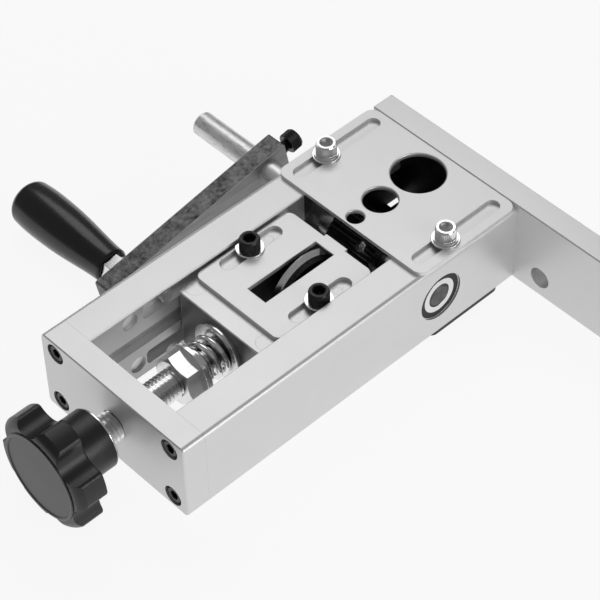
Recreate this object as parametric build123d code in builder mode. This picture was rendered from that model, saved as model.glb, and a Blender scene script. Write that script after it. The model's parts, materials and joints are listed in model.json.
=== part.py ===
from build123d import *
import math
import os

os.makedirs("parts", exist_ok=True)

# Hand-cranked cable stripper. All sizes are in millimetres.
# X runs along the body from the knob to the mounting bar, whose outer face is X = 0.
# Y runs across the body, towards the crank. Z is up, and the crank shaft lies at Z = 0.

# ---------------------------------------------------------------- driving dimensions

body_width = 90.0
body_length = 208.0
end_plate_thick = 12.0
bar_thick = 12.0
bar_height = 45.0
bar_length = 200.0
rail_thick = 18.0
rail_height = 43.0
edge_radius = 2.5
soft_edge = 0.5

running_gap = 0.06
side_gap = 0.3

base_z = -bar_height / 2
rail_top_z = base_z + rail_height
front_x = -body_length
rail_front_x = front_x + end_plate_thick
rail_back_x = -bar_thick
rail_length = rail_back_x - rail_front_x
rail_mid_y = (body_width - rail_thick) / 2
rail_mid_z = base_z + rail_height / 2
bay_half = body_width / 2 - rail_thick
sides = ((-1, "near"), (1, "far"))

# Crank shaft, feed roller and bearings
crank_x = front_x + 148.6
shaft_radius = 6.0
shaft_near_y = -44.2
shaft_end_y = 110.7
arm_relief_length = 2.0
arm_relief_depth = 0.4
roller_radius = 14.5
roller_half = 13.5
roller_teeth = 36
tooth_depth = 0.9
collar_radius = 8.5
bearing_radius = 14.0
bearing_width = 8.0
bearing_lip = 1.0
bearing_mid_y = body_width / 2 - bearing_lip - bearing_width / 2
inner_ring_radius = 9.0
outer_ring_bore = 11.7
ball_radius = 2.25
ball_count = 8
ball_circle = 10.35
bearing_window_radius = 12.0

# Crank arm and grip
arm_slope = 10.6
arm_inner_y = 64.5
arm_thick = 10.0
arm_width = 17.0
arm_tail = 11.75
arm_reach = 96.8
grip_reach = 83.2
grip_start_y = 80.5
grip_end_y = 141.0
grip_neck_radius = 8.8
grip_radius = 11.8
grip_bolt_radius = 4.0

# Pressure screw, knob and spring
screw_z = rail_mid_z
screw_radius = 7.0
knob_radius = 26.9
knob_lobes = 6
knob_phase = 46.0
knob_back_x = front_x - 25.5
knob_crest_x = front_x - 36.2
knob_front_x = front_x - 39.7
knob_cap_x = front_x - 40.4
knob_cap_radius = 21.2
hub_radius = 14.25
hub_back_x = front_x - 10.0
nut_front_x = front_x + 33.0
nut_thick = 8.0
nut_flats = 21.5
washer_thick = 2.5
washer_radius = 14.0
spring_length = 14.0
spring_wire = 2.8
spring_coil_radius = 8.9
spring_turns = 2.75

# Carriage, cutter disc and window plate
carriage_front_x = front_x + 60.0
carriage_back_x = front_x + 126.0
carriage_half = bay_half - side_gap
carriage_top_z = base_z + 38.2
carriage_bottom_z = base_z + 6.5
cutter_x = front_x + 109.6
cutter_radius = 19.8
cutter_half = 4.0
axle_radius = 4.0
window_plate_thick = 2.3
window_screw_x = front_x + 97.7
window_screw_y = 21.65
plate_shift_y = -0.25

# Feed plate and lower cover
feed_plate_thick = 2.0
feed_plate_front_x = front_x + 135.5
feed_screw_x = front_x + 158.8
feed_screw_y = 37.0
cover_thick = 3.0
cover_front_x = front_x + 144.2
cover_back_x = front_x + 188.2
cover_width = body_width - 2.0
cover_tongue_width = 50.0
cover_tongue_gap = 0.3

# Socket cap screws on the two plates
plate_screw_size = 6.0
plate_screw_head = 5.7
plate_head_radius = 4.8
plate_screw_socket = 5.0
plate_washer_radius = 6.5
plate_washer_bore = 3.2
plate_washer_thick = 1.0


# ---------------------------------------------------------------- screws used in several places


def cap_screw(size, length, head_height, head_radius, socket):
    """Socket cap screw: the head's underside is at Z = 0 and the thread points down."""
    with BuildPart() as screw:
        Cylinder(head_radius, head_height, align=(Align.CENTER, Align.CENTER, Align.MIN))
        chamfer(screw.edges().group_by(Axis.Z)[-1], head_height * 0.08)
        Cylinder(size / 2, length, align=(Align.CENTER, Align.CENTER, Align.MAX))
        chamfer(screw.edges().group_by(Axis.Z)[0], size * 0.1)
        with BuildSketch(Plane.XY.offset(head_height)):
            RegularPolygon(socket / 2, 6, major_radius=False)
        extrude(amount=-head_height * 0.55, mode=Mode.SUBTRACT)
    return screw.part


def countersunk_screw(size, length, head_radius, socket):
    """Countersunk socket screw: the flat head's top is at Z = 0 and the thread points down."""
    head_depth = head_radius - size / 2
    with BuildPart() as screw:
        with BuildSketch(Plane.XZ):
            with BuildLine():
                Polyline(
                    (0, 0),
                    (head_radius, 0),
                    (size / 2, -head_depth),
                    (size / 2, -length),
                    (0, -length),
                    close=True,
                )
            make_face()
        revolve(axis=Axis.Z)
        with BuildSketch():
            RegularPolygon(socket / 2, 6, major_radius=False)
        extrude(amount=-head_depth * 0.8, mode=Mode.SUBTRACT)
    return screw.part


# ---------------------------------------------------------------- end plate and its screws

end_screw_y = rail_mid_y
end_screw_rise = 15.0
end_screw_length = 24.0
end_screw_sink = 5.6
end_screw_places = [
    (side * end_screw_y, screw_z + turn * end_screw_rise)
    for side in (-1, 1)
    for turn in (-1, 1)
]

with BuildPart() as end_plate:
    with BuildSketch(Plane.YZ.offset(front_x)):
        with Locations((0, rail_mid_z)):
            RectangleRounded(body_width, rail_height, edge_radius)
    extrude(amount=end_plate_thick)
    chamfer(end_plate.faces().sort_by(Axis.X)[0].edges(), soft_edge)
    with BuildSketch(Plane.YZ.offset(front_x)):
        with Locations((0, screw_z)):
            Circle(screw_radius + running_gap)
        with Locations(*end_screw_places):
            Circle(2.5)
    extrude(amount=end_plate_thick, mode=Mode.SUBTRACT)
    with BuildSketch(Plane.YZ.offset(front_x)):
        with Locations(*end_screw_places):
            Circle(5.0)
    extrude(amount=end_screw_sink, mode=Mode.SUBTRACT)
end_plate.part.label = "end_plate"
export_step(end_plate.part, "parts/end_plate.step")

end_screw = cap_screw(5.0, end_screw_length, 5.0, 4.25, 4.0)
with BuildPart() as end_plate_screws:
    for y, z in end_screw_places:
        with Locations(Plane(origin=(front_x + end_screw_sink, y, z), z_dir=(-1, 0, 0))):
            add(end_screw)
end_plate_screws.part.label = "end_plate_screws"
export_step(end_plate_screws.part, "parts/end_plate_screws.step")

# ---------------------------------------------------------------- the two rails and the pins in their slots

groove_height = 8.5
groove_depth = 4.0
slot_start_x = front_x + 41.0
slot_end_x = front_x + 130.0
slot_depth = 5.0
upper_slot_z = (base_z + 33.5, base_z + 42.0)
lower_slot_z = (base_z + 5.0, base_z + 13.0)
recess_places = [(front_x + 33.7, base_z + 37.4), (front_x + 36.0, base_z + 8.7)]
slot_pin_x = front_x + 55.0
slot_pin_z = base_z + 38.0
slot_pin_radius = 3.25
slot_pin_length = 11.0
bar_screw_rise = 10.0
bar_screw_places = [
    (side * end_screw_y, screw_z + turn * bar_screw_rise)
    for side in (-1, 1)
    for turn in (-1, 1)
]
bar_screw_length = 25.0
feed_screw_length = 10.0
spring_washer_thick = 1.0
feed_screw_stack = feed_plate_thick + plate_washer_thick + spring_washer_thick
feed_screw_depth = feed_screw_length - feed_screw_stack
cover_screw_x = (cover_front_x + 4.5, cover_back_x - 4.5)
cover_screw_length = 10.0

for side, side_name in sides:
    with BuildPart() as rail:
        with BuildSketch(Plane.YZ.offset(rail_front_x)):
            with Locations((side * rail_mid_y, rail_mid_z)):
                Rectangle(rail_thick, rail_height)
        extrude(amount=rail_length)
        long_edges = rail.edges().filter_by(Axis.X).sort_by(Axis.Y, reverse=side > 0)
        fillet(long_edges[:2], edge_radius)
        long_edges = rail.edges().filter_by(Axis.X).sort_by(Axis.Y, reverse=side < 0)
        chamfer(long_edges[:2], soft_edge)
        with BuildSketch(Plane.XZ.offset(-side * bay_half)):
            with Locations(((rail_front_x + rail_back_x) / 2, 0)):
                Rectangle(rail_length, groove_height)
        extrude(amount=-side * groove_depth, mode=Mode.SUBTRACT)
        with BuildSketch(Plane.XZ.offset(-side * bay_half)):
            for low, high in (upper_slot_z, lower_slot_z):
                with Locations(((slot_start_x + slot_end_x) / 2, (low + high) / 2)):
                    RectangleRounded(slot_end_x - slot_start_x, high - low, 2.0)
        extrude(amount=-side * slot_depth, mode=Mode.SUBTRACT)
        with BuildSketch(Plane.XZ.offset(-side * bay_half)):
            with Locations(*recess_places):
                Circle(4.25)
        extrude(amount=-side * 1.5, mode=Mode.SUBTRACT)
        with BuildSketch(Plane.XZ.offset(-side * bay_half)):
            with Locations((slot_pin_x, slot_pin_z)):
                Circle(slot_pin_radius)
        extrude(amount=-side * slot_pin_length, mode=Mode.SUBTRACT)
        with BuildSketch(Plane.XZ.offset(-side * bay_half)):
            with Locations((crank_x, 0)):
                Circle(bearing_radius)
        extrude(amount=-side * (rail_thick - bearing_lip), mode=Mode.SUBTRACT)
        with BuildSketch(Plane.XZ.offset(-side * bay_half)):
            with Locations((crank_x, 0)):
                Circle(bearing_window_radius)
        extrude(amount=-side * rail_thick, mode=Mode.SUBTRACT)
        with BuildSketch(Plane.YZ.offset(rail_front_x)):
            with Locations(*[place for place in end_screw_places if place[0] * side > 0]):
                Circle(2.5)
        extrude(amount=end_screw_length - end_plate_thick + end_screw_sink, mode=Mode.SUBTRACT)
        with BuildSketch(Plane.YZ.offset(rail_back_x)):
            with Locations(*[place for place in bar_screw_places if place[0] * side > 0]):
                Circle(3.0)
        extrude(amount=-(bar_screw_length - bar_thick), mode=Mode.SUBTRACT)
        with BuildSketch(Plane.XY.offset(rail_top_z)):
            with Locations((feed_screw_x, side * feed_screw_y)):
                Circle(plate_screw_size / 2)
        extrude(amount=-feed_screw_depth, mode=Mode.SUBTRACT)
        with BuildSketch(Plane.XY.offset(base_z)):
            with Locations(*[(x, side * rail_mid_y) for x in cover_screw_x]):
                Circle(2.0)
        extrude(amount=cover_screw_length - cover_thick, mode=Mode.SUBTRACT)
    rail.part.label = f"{side_name}_rail"
    export_step(rail.part, f"parts/{side_name}_rail.step")

with BuildPart() as slot_pins:
    for side, side_name in sides:
        with BuildSketch(Plane.XZ.offset(-side * bay_half)):
            with Locations((slot_pin_x, slot_pin_z)):
                Circle(slot_pin_radius)
        extrude(amount=-side * slot_pin_length)
slot_pins.part.label = "slot_pins"
export_step(slot_pins.part, "parts/slot_pins.step")

# ---------------------------------------------------------------- mounting bar and its screws

bar_hole_radius = 5.25
bar_hole_z = base_z + 10.6
bar_hole_y = (-60.2, -140.2)
bar_screw_head = 6.0

with BuildPart() as mounting_bar:
    with BuildSketch(Plane.YZ.offset(rail_back_x)):
        with Locations((body_width / 2 - bar_length / 2, base_z + bar_height / 2)):
            Rectangle(bar_length, bar_height)
    extrude(amount=bar_thick)
    chamfer(mounting_bar.edges(), soft_edge)
    with BuildSketch(Plane.YZ.offset(rail_back_x)):
        with Locations(*[(y, bar_hole_z) for y in bar_hole_y]):
            Circle(bar_hole_radius)
        with Locations(*bar_screw_places):
            Circle(3.0)
    extrude(amount=bar_thick, mode=Mode.SUBTRACT)
    for y, z in bar_screw_places:
        with Locations(Plane(origin=(0, y, z), z_dir=(1, 0, 0))):
            CounterSinkHole(3.0, bar_screw_head, bar_thick, 90)
mounting_bar.part.label = "mounting_bar"
export_step(mounting_bar.part, "parts/mounting_bar.step")

bar_screw = countersunk_screw(6.0, bar_screw_length, bar_screw_head, 4.0)
with BuildPart() as mounting_bar_screws:
    for y, z in bar_screw_places:
        with Locations(Plane(origin=(0, y, z), z_dir=(1, 0, 0))):
            add(bar_screw)
mounting_bar_screws.part.label = "mounting_bar_screws"
export_step(mounting_bar_screws.part, "parts/mounting_bar_screws.step")

# ---------------------------------------------------------------- lower cover plate under the roller

cover_screw_head = 4.0
cover_screw_places = [(x, y) for x in cover_screw_x for y in (-rail_mid_y, rail_mid_y)]

with BuildPart() as lower_cover:
    with BuildSketch(Plane.XY.offset(base_z - cover_thick)):
        with Locations(((cover_front_x + cover_back_x) / 2, 0)):
            RectangleRounded(cover_back_x - cover_front_x, cover_width, 4.0)
        tongue_end_x = -bar_thick - cover_tongue_gap
        tongue_start_x = cover_back_x - 5.0
        with Locations(((tongue_start_x + tongue_end_x) / 2, 0)):
            Rectangle(tongue_end_x - tongue_start_x, cover_tongue_width)
    extrude(amount=cover_thick)
    chamfer(lower_cover.faces().sort_by(Axis.Z)[0].edges(), 1.0)
    for x, y in cover_screw_places:
        with Locations(Plane(origin=(x, y, base_z - cover_thick), z_dir=(0, 0, -1))):
            CounterSinkHole(2.0, cover_screw_head, cover_thick, 90)
lower_cover.part.label = "lower_cover"
export_step(lower_cover.part, "parts/lower_cover.step")

cover_screw = countersunk_screw(4.0, cover_screw_length, cover_screw_head, 2.5)
with BuildPart() as lower_cover_screws:
    for x, y in cover_screw_places:
        with Locations(Plane(origin=(x, y, base_z - cover_thick), z_dir=(0, 0, -1))):
            add(cover_screw)
lower_cover_screws.part.label = "lower_cover_screws"
export_step(lower_cover_screws.part, "parts/lower_cover_screws.step")

# ---------------------------------------------------------------- feed plate with its three wire holes

feed_holes = ((front_x + 140.7, 4.0), (front_x + 156.0, 8.0), (front_x + 179.7, 12.5))
feed_slot_start_x = front_x + 139.5
feed_slot_end_x = front_x + 191.5
feed_slot_width = 6.8
feed_plate_back_x = rail_back_x - side_gap

with BuildPart() as feed_plate:
    with BuildSketch(Plane.XY.offset(rail_top_z)):
        with Locations(((feed_plate_front_x + feed_plate_back_x) / 2, 0)):
            RectangleRounded(feed_plate_back_x - feed_plate_front_x, body_width, 5.0)
        for x, radius in feed_holes:
            with Locations((x, 0)):
                Circle(radius, mode=Mode.SUBTRACT)
        feed_slot_mid_x = (feed_slot_start_x + feed_slot_end_x) / 2
        with Locations((feed_slot_mid_x, -feed_screw_y), (feed_slot_mid_x, feed_screw_y)):
            SlotOverall(feed_slot_end_x - feed_slot_start_x, feed_slot_width, mode=Mode.SUBTRACT)
    extrude(amount=feed_plate_thick)
    rims = feed_plate.faces().sort_by(Axis.Z)[-1].edges().filter_by(lambda edge: edge.is_closed)
    chamfer(rims, soft_edge)
feed_plate.part.label = "feed_plate"
export_step(feed_plate.part, "parts/feed_plate.step")

feed_plate_top_z = rail_top_z + feed_plate_thick
spring_washer_z = feed_plate_top_z + plate_washer_thick
feed_head_z = spring_washer_z + spring_washer_thick
feed_screw_places = [(feed_screw_x, -feed_screw_y), (feed_screw_x, feed_screw_y)]

with BuildPart() as feed_plate_washers:
    with BuildSketch(Plane.XY.offset(feed_plate_top_z)):
        with Locations(*feed_screw_places):
            Circle(plate_washer_radius)
            Circle(plate_washer_bore, mode=Mode.SUBTRACT)
    extrude(amount=plate_washer_thick)
feed_plate_washers.part.label = "feed_plate_washers"
export_step(feed_plate_washers.part, "parts/feed_plate_washers.step")

spring_washer_radius = 5.7
spring_washer_split = 1.0

with BuildPart() as feed_plate_spring_washers:
    with BuildSketch(Plane.XY.offset(spring_washer_z)):
        with Locations(*feed_screw_places):
            Circle(spring_washer_radius)
            Circle(plate_washer_bore, mode=Mode.SUBTRACT)
            with Locations((0, spring_washer_radius)):
                Rectangle(spring_washer_split, 2 * spring_washer_radius, mode=Mode.SUBTRACT)
    extrude(amount=spring_washer_thick)
feed_plate_spring_washers.part.label = "feed_plate_spring_washers"
export_step(feed_plate_spring_washers.part, "parts/feed_plate_spring_washers.step")

feed_screw = cap_screw(
    plate_screw_size,
    feed_screw_length,
    plate_screw_head,
    plate_head_radius,
    plate_screw_socket,
)
with BuildPart() as feed_plate_screws:
    with Locations(*[(x, y, feed_head_z) for x, y in feed_screw_places]):
        add(feed_screw)
feed_plate_screws.part.label = "feed_plate_screws"
export_step(feed_plate_screws.part, "parts/feed_plate_screws.step")

# ---------------------------------------------------------------- ball bearings in the rails

race_radius = ball_radius + running_gap
seal_thick = 0.8
cage_start = 1.0
cage_end = 2.9

for side, side_name in sides:
    middle_y = side * bearing_mid_y
    bearing_plane = Plane(origin=(crank_x, middle_y, 0), x_dir=(0, 1, 0), z_dir=(1, 0, 0))
    bearing_axis = Axis((crank_x, middle_y, 0), (0, 1, 0))

    with BuildPart() as outer_ring:
        with BuildSketch(bearing_plane):
            with Locations((0, (bearing_radius + outer_ring_bore) / 2)):
                Rectangle(bearing_width, bearing_radius - outer_ring_bore)
            with Locations((0, ball_circle)):
                Circle(race_radius, mode=Mode.SUBTRACT)
        revolve(axis=bearing_axis)
    outer_ring.part.label = f"{side_name}_bearing_outer_ring"
    export_step(outer_ring.part, f"parts/{side_name}_bearing_outer_ring.step")

    with BuildPart() as inner_ring:
        with BuildSketch(bearing_plane):
            with Locations((0, (inner_ring_radius + shaft_radius) / 2)):
                Rectangle(bearing_width, inner_ring_radius - shaft_radius)
            with Locations((0, ball_circle)):
                Circle(race_radius, mode=Mode.SUBTRACT)
        revolve(axis=bearing_axis)
    inner_ring.part.label = f"{side_name}_bearing_inner_ring"
    export_step(inner_ring.part, f"parts/{side_name}_bearing_inner_ring.step")

    with BuildPart() as balls:
        with Locations(Plane(origin=(crank_x, middle_y, 0), z_dir=(0, 1, 0))):
            with PolarLocations(ball_circle, ball_count):
                Sphere(ball_radius)
    balls.part.label = f"{side_name}_bearing_balls"
    export_step(balls.part, f"parts/{side_name}_bearing_balls.step")

    with BuildPart() as cage:
        with BuildSketch(bearing_plane):
            with Locations(((cage_start + cage_end) / 2, ball_circle)):
                Rectangle(cage_end - cage_start, 1.6)
        revolve(axis=bearing_axis)
        with Locations(Plane(origin=(crank_x, middle_y, 0), z_dir=(0, 1, 0))):
            with PolarLocations(ball_circle, ball_count):
                Sphere(race_radius, mode=Mode.SUBTRACT)
    cage.part.label = f"{side_name}_bearing_cage"
    export_step(cage.part, f"parts/{side_name}_bearing_cage.step")

    with BuildPart() as seals:
        with BuildSketch(bearing_plane):
            seal_mid = (bearing_width - seal_thick) / 2
            with Locations((-seal_mid, 0), (seal_mid, 0)):
                with Locations((0, (outer_ring_bore + inner_ring_radius + running_gap) / 2)):
                    Rectangle(seal_thick, outer_ring_bore - inner_ring_radius - running_gap)
        revolve(axis=bearing_axis)
    seals.part.label = f"{side_name}_bearing_seals"
    export_step(seals.part, f"parts/{side_name}_bearing_seals.step")

# ---------------------------------------------------------------- crank shaft, collars and feed roller

shaft_plane = Plane(origin=(crank_x, 0, 0), z_dir=(0, 1, 0))
dimple_turn = 45.0
dimple_y = 105.0

with BuildPart() as crank_shaft:
    with BuildSketch(shaft_plane.offset(shaft_near_y)):
        Circle(shaft_radius)
    extrude(amount=shaft_end_y - shaft_near_y)
    chamfer(crank_shaft.edges().filter_by(GeomType.CIRCLE), 1.0)
    with BuildSketch(shaft_plane.offset(arm_inner_y + arm_thick)):
        Circle(shaft_radius + 1.0)
        Circle(shaft_radius - arm_relief_depth, mode=Mode.SUBTRACT)
    extrude(amount=-arm_relief_length, mode=Mode.SUBTRACT)
    dimple_x = crank_x - shaft_radius * math.cos(math.radians(dimple_turn))
    dimple_z = shaft_radius * math.sin(math.radians(dimple_turn))
    with Locations((dimple_x, dimple_y, dimple_z)):
        Sphere(1.6, mode=Mode.SUBTRACT)
crank_shaft.part.label = "crank_shaft"
export_step(crank_shaft.part, "parts/crank_shaft.step")

with BuildPart() as shaft_collars:
    for side, side_name in sides:
        with BuildSketch(shaft_plane.offset(side * roller_half)):
            Circle(collar_radius)
            Circle(shaft_radius, mode=Mode.SUBTRACT)
        extrude(amount=side * (bearing_mid_y - bearing_width / 2 - roller_half))
shaft_collars.part.label = "shaft_collars"
export_step(shaft_collars.part, "parts/shaft_collars.step")

set_screw_turn = 43.0
set_screw_y = -5.5
set_screw_radius = 2.5
set_screw_out = (-math.cos(math.radians(set_screw_turn)), 0, math.sin(math.radians(set_screw_turn)))
set_screw_plane = Plane(origin=(crank_x, set_screw_y, 0), z_dir=set_screw_out)
set_screw_length = 6.5

with BuildPart() as feed_roller:
    with BuildSketch(shaft_plane.offset(-roller_half)):
        Circle(roller_radius)
        Circle(shaft_radius, mode=Mode.SUBTRACT)
        with PolarLocations(roller_radius, roller_teeth):
            with Locations(Location((0, 0), 45)):
                Rectangle(tooth_depth * math.sqrt(2), tooth_depth * math.sqrt(2), mode=Mode.SUBTRACT)
    extrude(amount=2 * roller_half)
    with BuildSketch(set_screw_plane):
        Circle(set_screw_radius)
    extrude(amount=roller_radius, mode=Mode.SUBTRACT)
feed_roller.part.label = "feed_roller"
export_step(feed_roller.part, "parts/feed_roller.step")

with BuildPart() as roller_set_screw:
    with BuildSketch(set_screw_plane.offset(shaft_radius)):
        Circle(set_screw_radius)
    extrude(amount=set_screw_length)
    with BuildSketch(set_screw_plane.offset(shaft_radius + set_screw_length)):
        RegularPolygon(1.25, 6, major_radius=False)
    extrude(amount=-2.5, mode=Mode.SUBTRACT)
roller_set_screw.part.label = "roller_set_screw"
export_step(roller_set_screw.part, "parts/roller_set_screw.step")

# ---------------------------------------------------------------- crank arm and its clamp screw

slope = math.radians(arm_slope)
along_arm = (-math.cos(slope), 0, -math.sin(slope))
behind_arm = (math.cos(slope), 0, math.sin(slope))
arm_plane = Plane(origin=(crank_x, arm_inner_y, 0), x_dir=along_arm, z_dir=(0, 1, 0))
clamp_stand_off = 4.5
clamp_radius = 3.0
arm_mid_y = arm_inner_y + arm_thick / 2
clamp_plane = Plane(origin=(crank_x, arm_mid_y, 0), z_dir=behind_arm)

with BuildPart() as crank_arm:
    with BuildSketch(arm_plane):
        with Locations(((arm_reach - arm_tail) / 2, 0)):
            RectangleRounded(arm_reach + arm_tail, arm_width, 1.2)
        Circle(shaft_radius, mode=Mode.SUBTRACT)
        with Locations((grip_reach, 0)):
            Circle(grip_bolt_radius, mode=Mode.SUBTRACT)
    extrude(amount=arm_thick)
    with BuildSketch(clamp_plane):
        Circle(clamp_radius)
    extrude(amount=arm_tail + 1.0, mode=Mode.SUBTRACT)
crank_arm.part.label = "crank_arm"
export_step(crank_arm.part, "parts/crank_arm.step")

clamp_screw = cap_screw(6.0, arm_tail + clamp_stand_off - shaft_radius, 6.0, 5.0, 5.0)
with BuildPart() as arm_clamp_screw:
    with Locations(clamp_plane.offset(arm_tail + clamp_stand_off)):
        add(clamp_screw)
arm_clamp_screw.part.label = "arm_clamp_screw"
export_step(arm_clamp_screw.part, "parts/arm_clamp_screw.step")

# ---------------------------------------------------------------- turning grip on its bolt

grip_x = crank_x + grip_reach * along_arm[0]
grip_z = grip_reach * along_arm[2]
grip_plane = Plane(origin=(grip_x, 0, grip_z), x_dir=(0, 1, 0), z_dir=(1, 0, 0))
grip_axis = Axis((grip_x, 0, grip_z), (0, 1, 0))
grip_floor_y = 127.7
recess_radius = 7.6
bolt_head_radius = 6.5
bolt_head_height = 5.0
lock_nut_flats = 13.0
lock_nut_end_y = grip_start_y - side_gap
arm_outer_y = arm_inner_y + arm_thick

with BuildPart() as grip:
    with BuildSketch(grip_plane):
        with BuildLine():
            Polyline(
                (grip_start_y, grip_bolt_radius + running_gap),
                (grip_start_y, grip_neck_radius - 1.0),
                (grip_start_y + 1.0, grip_neck_radius),
            )
            Spline(
                (grip_start_y + 1.0, grip_neck_radius),
                (grip_start_y + 12.0, grip_neck_radius + 0.7),
                (grip_start_y + 30.0, grip_radius - 0.5),
                (grip_start_y + 42.0, grip_radius),
                (grip_end_y - 4.0, grip_radius - 0.5),
                tangents=((1, 0), (1, -0.12)),
            )
            RadiusArc((grip_end_y - 4.0, grip_radius - 0.5), (grip_end_y, recess_radius + 1.0), 4.2)
            Polyline(
                (grip_end_y, recess_radius + 1.0),
                (grip_end_y, recess_radius),
                (grip_floor_y, recess_radius),
                (grip_floor_y, grip_bolt_radius + running_gap),
                (grip_start_y, grip_bolt_radius + running_gap),
            )
        make_face()
    revolve(axis=grip_axis)
grip.part.label = "grip"
export_step(grip.part, "parts/grip.step")

bolt_plane = Plane(origin=(grip_x, grip_floor_y + side_gap, grip_z), z_dir=(0, 1, 0))
grip_bolt_length = grip_floor_y + side_gap - arm_inner_y
bolt = cap_screw(2 * grip_bolt_radius, grip_bolt_length, bolt_head_height, bolt_head_radius, 6.0)
with BuildPart() as grip_bolt:
    with Locations(bolt_plane):
        add(bolt)
grip_bolt.part.label = "grip_bolt"
export_step(grip_bolt.part, "parts/grip_bolt.step")

with BuildPart() as grip_lock_nut:
    with BuildSketch(Plane(origin=(grip_x, arm_outer_y, grip_z), x_dir=along_arm, z_dir=(0, 1, 0))):
        RegularPolygon(lock_nut_flats / 2, 6, major_radius=False)
        Circle(grip_bolt_radius, mode=Mode.SUBTRACT)
    extrude(amount=lock_nut_end_y - arm_outer_y)
grip_lock_nut.part.label = "grip_lock_nut"
export_step(grip_lock_nut.part, "parts/grip_lock_nut.step")

# ---------------------------------------------------------------- pressure screw with its retaining neck

neck_start_x = front_x + 68.0
neck_end_x = front_x + 78.0
neck_radius = 5.0
tip_x = front_x + 81.0
screw_start_x = knob_front_x + 2.0
screw_plane = Plane(origin=(0, 0, screw_z), x_dir=(1, 0, 0), z_dir=(0, -1, 0))
screw_axis = Axis((0, 0, screw_z), (1, 0, 0))

with BuildPart() as pressure_screw:
    with BuildSketch(screw_plane):
        with BuildLine():
            Polyline(
                (screw_start_x, 0),
                (screw_start_x, screw_radius),
                (neck_start_x, screw_radius),
                (neck_start_x, neck_radius),
                (neck_end_x, neck_radius),
                (neck_end_x, screw_radius),
                (tip_x, screw_radius),
                (tip_x, 0),
                close=True,
            )
        make_face()
    revolve(axis=screw_axis)
pressure_screw.part.label = "pressure_screw"
export_step(pressure_screw.part, "parts/pressure_screw.step")

nut_turn = 14.0
nut_chamfer = 1.0
with BuildPart() as pressure_nut:
    with BuildSketch(Plane(origin=(nut_front_x, 0, screw_z), x_dir=(0, 1, 0), z_dir=(1, 0, 0))):
        RegularPolygon(nut_flats / 2, 6, major_radius=False, rotation=nut_turn)
        Circle(screw_radius, mode=Mode.SUBTRACT)
    extrude(amount=nut_thick)
    with BuildSketch(screw_plane, mode=Mode.PRIVATE) as nut_bevel:
        with BuildLine():
            corner = nut_flats / 2 / math.cos(math.pi / 6)
            Polyline(
                (nut_front_x, nut_flats / 2 - 0.3),
                (nut_front_x, corner + 1.0),
                (nut_front_x + nut_chamfer, corner + 1.0),
                (nut_front_x + nut_chamfer, corner),
                close=True,
            )
        make_face()
    revolve(nut_bevel.sketch, axis=screw_axis, mode=Mode.SUBTRACT)
pressure_nut.part.label = "pressure_nut"
export_step(pressure_nut.part, "parts/pressure_nut.step")

# ---------------------------------------------------------------- washers and spring on the pressure screw

front_washer_x = nut_front_x + nut_thick
spring_x = front_washer_x + washer_thick
rear_washer_x = spring_x + spring_length
washer_bore = screw_radius + side_gap

for washer_name, start_x in (("front_washer", front_washer_x), ("rear_washer", rear_washer_x)):
    with BuildPart() as washer:
        with BuildSketch(Plane.YZ.offset(start_x)):
            with Locations((0, screw_z)):
                Circle(washer_radius)
                Circle(washer_bore, mode=Mode.SUBTRACT)
        extrude(amount=washer_thick)
        chamfer(washer.faces().sort_by(Axis.X)[0].edges().sort_by(SortBy.RADIUS)[-1], 0.4)
    washer.part.label = washer_name
    export_step(washer.part, f"parts/{washer_name}.step")

coil_height = spring_length - spring_wire - 0.1
with BuildPart() as pressure_spring:
    with BuildLine() as coil:
        Helix(
            pitch=coil_height / spring_turns,
            height=coil_height,
            radius=spring_coil_radius,
            center=(spring_x + spring_wire / 2 + 0.05, 0, screw_z),
            direction=(1, 0, 0),
        )
    with BuildSketch(Plane(origin=coil.line @ 0, z_dir=coil.line % 0)):
        Circle(spring_wire / 2)
    sweep(path=coil.line, is_frenet=True)
pressure_spring.part.label = "pressure_spring"
export_step(pressure_spring.part, "parts/pressure_spring.step")

# ---------------------------------------------------------------- star knob, its cap and washer

valley_radius = 8.7
valley_centre = 30.1
knob_shoulder_radius = 24.9
crest_overhang = 1.0
lobe_rounding = 2.5

with BuildPart() as star_knob:
    with BuildSketch(Plane.YZ.offset(knob_front_x)):
        with Locations((0, screw_z)):
            Circle(knob_radius)
            with PolarLocations(valley_centre, knob_lobes, start_angle=knob_phase + 180 / knob_lobes):
                Circle(valley_radius, mode=Mode.SUBTRACT)
    extrude(amount=knob_back_x - knob_front_x)
    fillet(star_knob.edges().filter_by(Axis.X), lobe_rounding)
    fillet(star_knob.faces().sort_by(Axis.X)[-1].edges(), 1.0)
    with BuildSketch(screw_plane):
        with BuildLine():
            Polyline(
                (knob_crest_x, knob_radius),
                (knob_crest_x, knob_radius + crest_overhang),
                (knob_back_x, knob_radius + crest_overhang),
                (knob_back_x, 0),
                (knob_front_x, 0),
                (knob_front_x, knob_cap_radius),
            )
            ThreePointArc(
                (knob_front_x, knob_cap_radius),
                (knob_front_x + 0.8, knob_shoulder_radius),
                (knob_crest_x, knob_radius),
            )
        make_face()
    revolve(axis=screw_axis, mode=Mode.INTERSECT)
    with BuildSketch(Plane.YZ.offset(knob_back_x)):
        with Locations((0, screw_z)):
            Circle(hub_radius)
    extrude(amount=hub_back_x - knob_back_x)
    with BuildSketch(Plane.YZ.offset(screw_start_x)):
        with Locations((0, screw_z)):
            Circle(screw_radius)
    extrude(amount=hub_back_x - screw_start_x, mode=Mode.SUBTRACT)
star_knob.part.label = "star_knob"
export_step(star_knob.part, "parts/star_knob.step")

with BuildPart() as knob_cap:
    with BuildSketch(Plane.YZ.offset(knob_cap_x)):
        with Locations((0, screw_z)):
            Circle(knob_cap_radius)
    extrude(amount=knob_front_x - knob_cap_x)
    fillet(knob_cap.faces().sort_by(Axis.X)[0].edges(), 0.5)
knob_cap.part.label = "knob_cap"
export_step(knob_cap.part, "parts/knob_cap.step")

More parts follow.
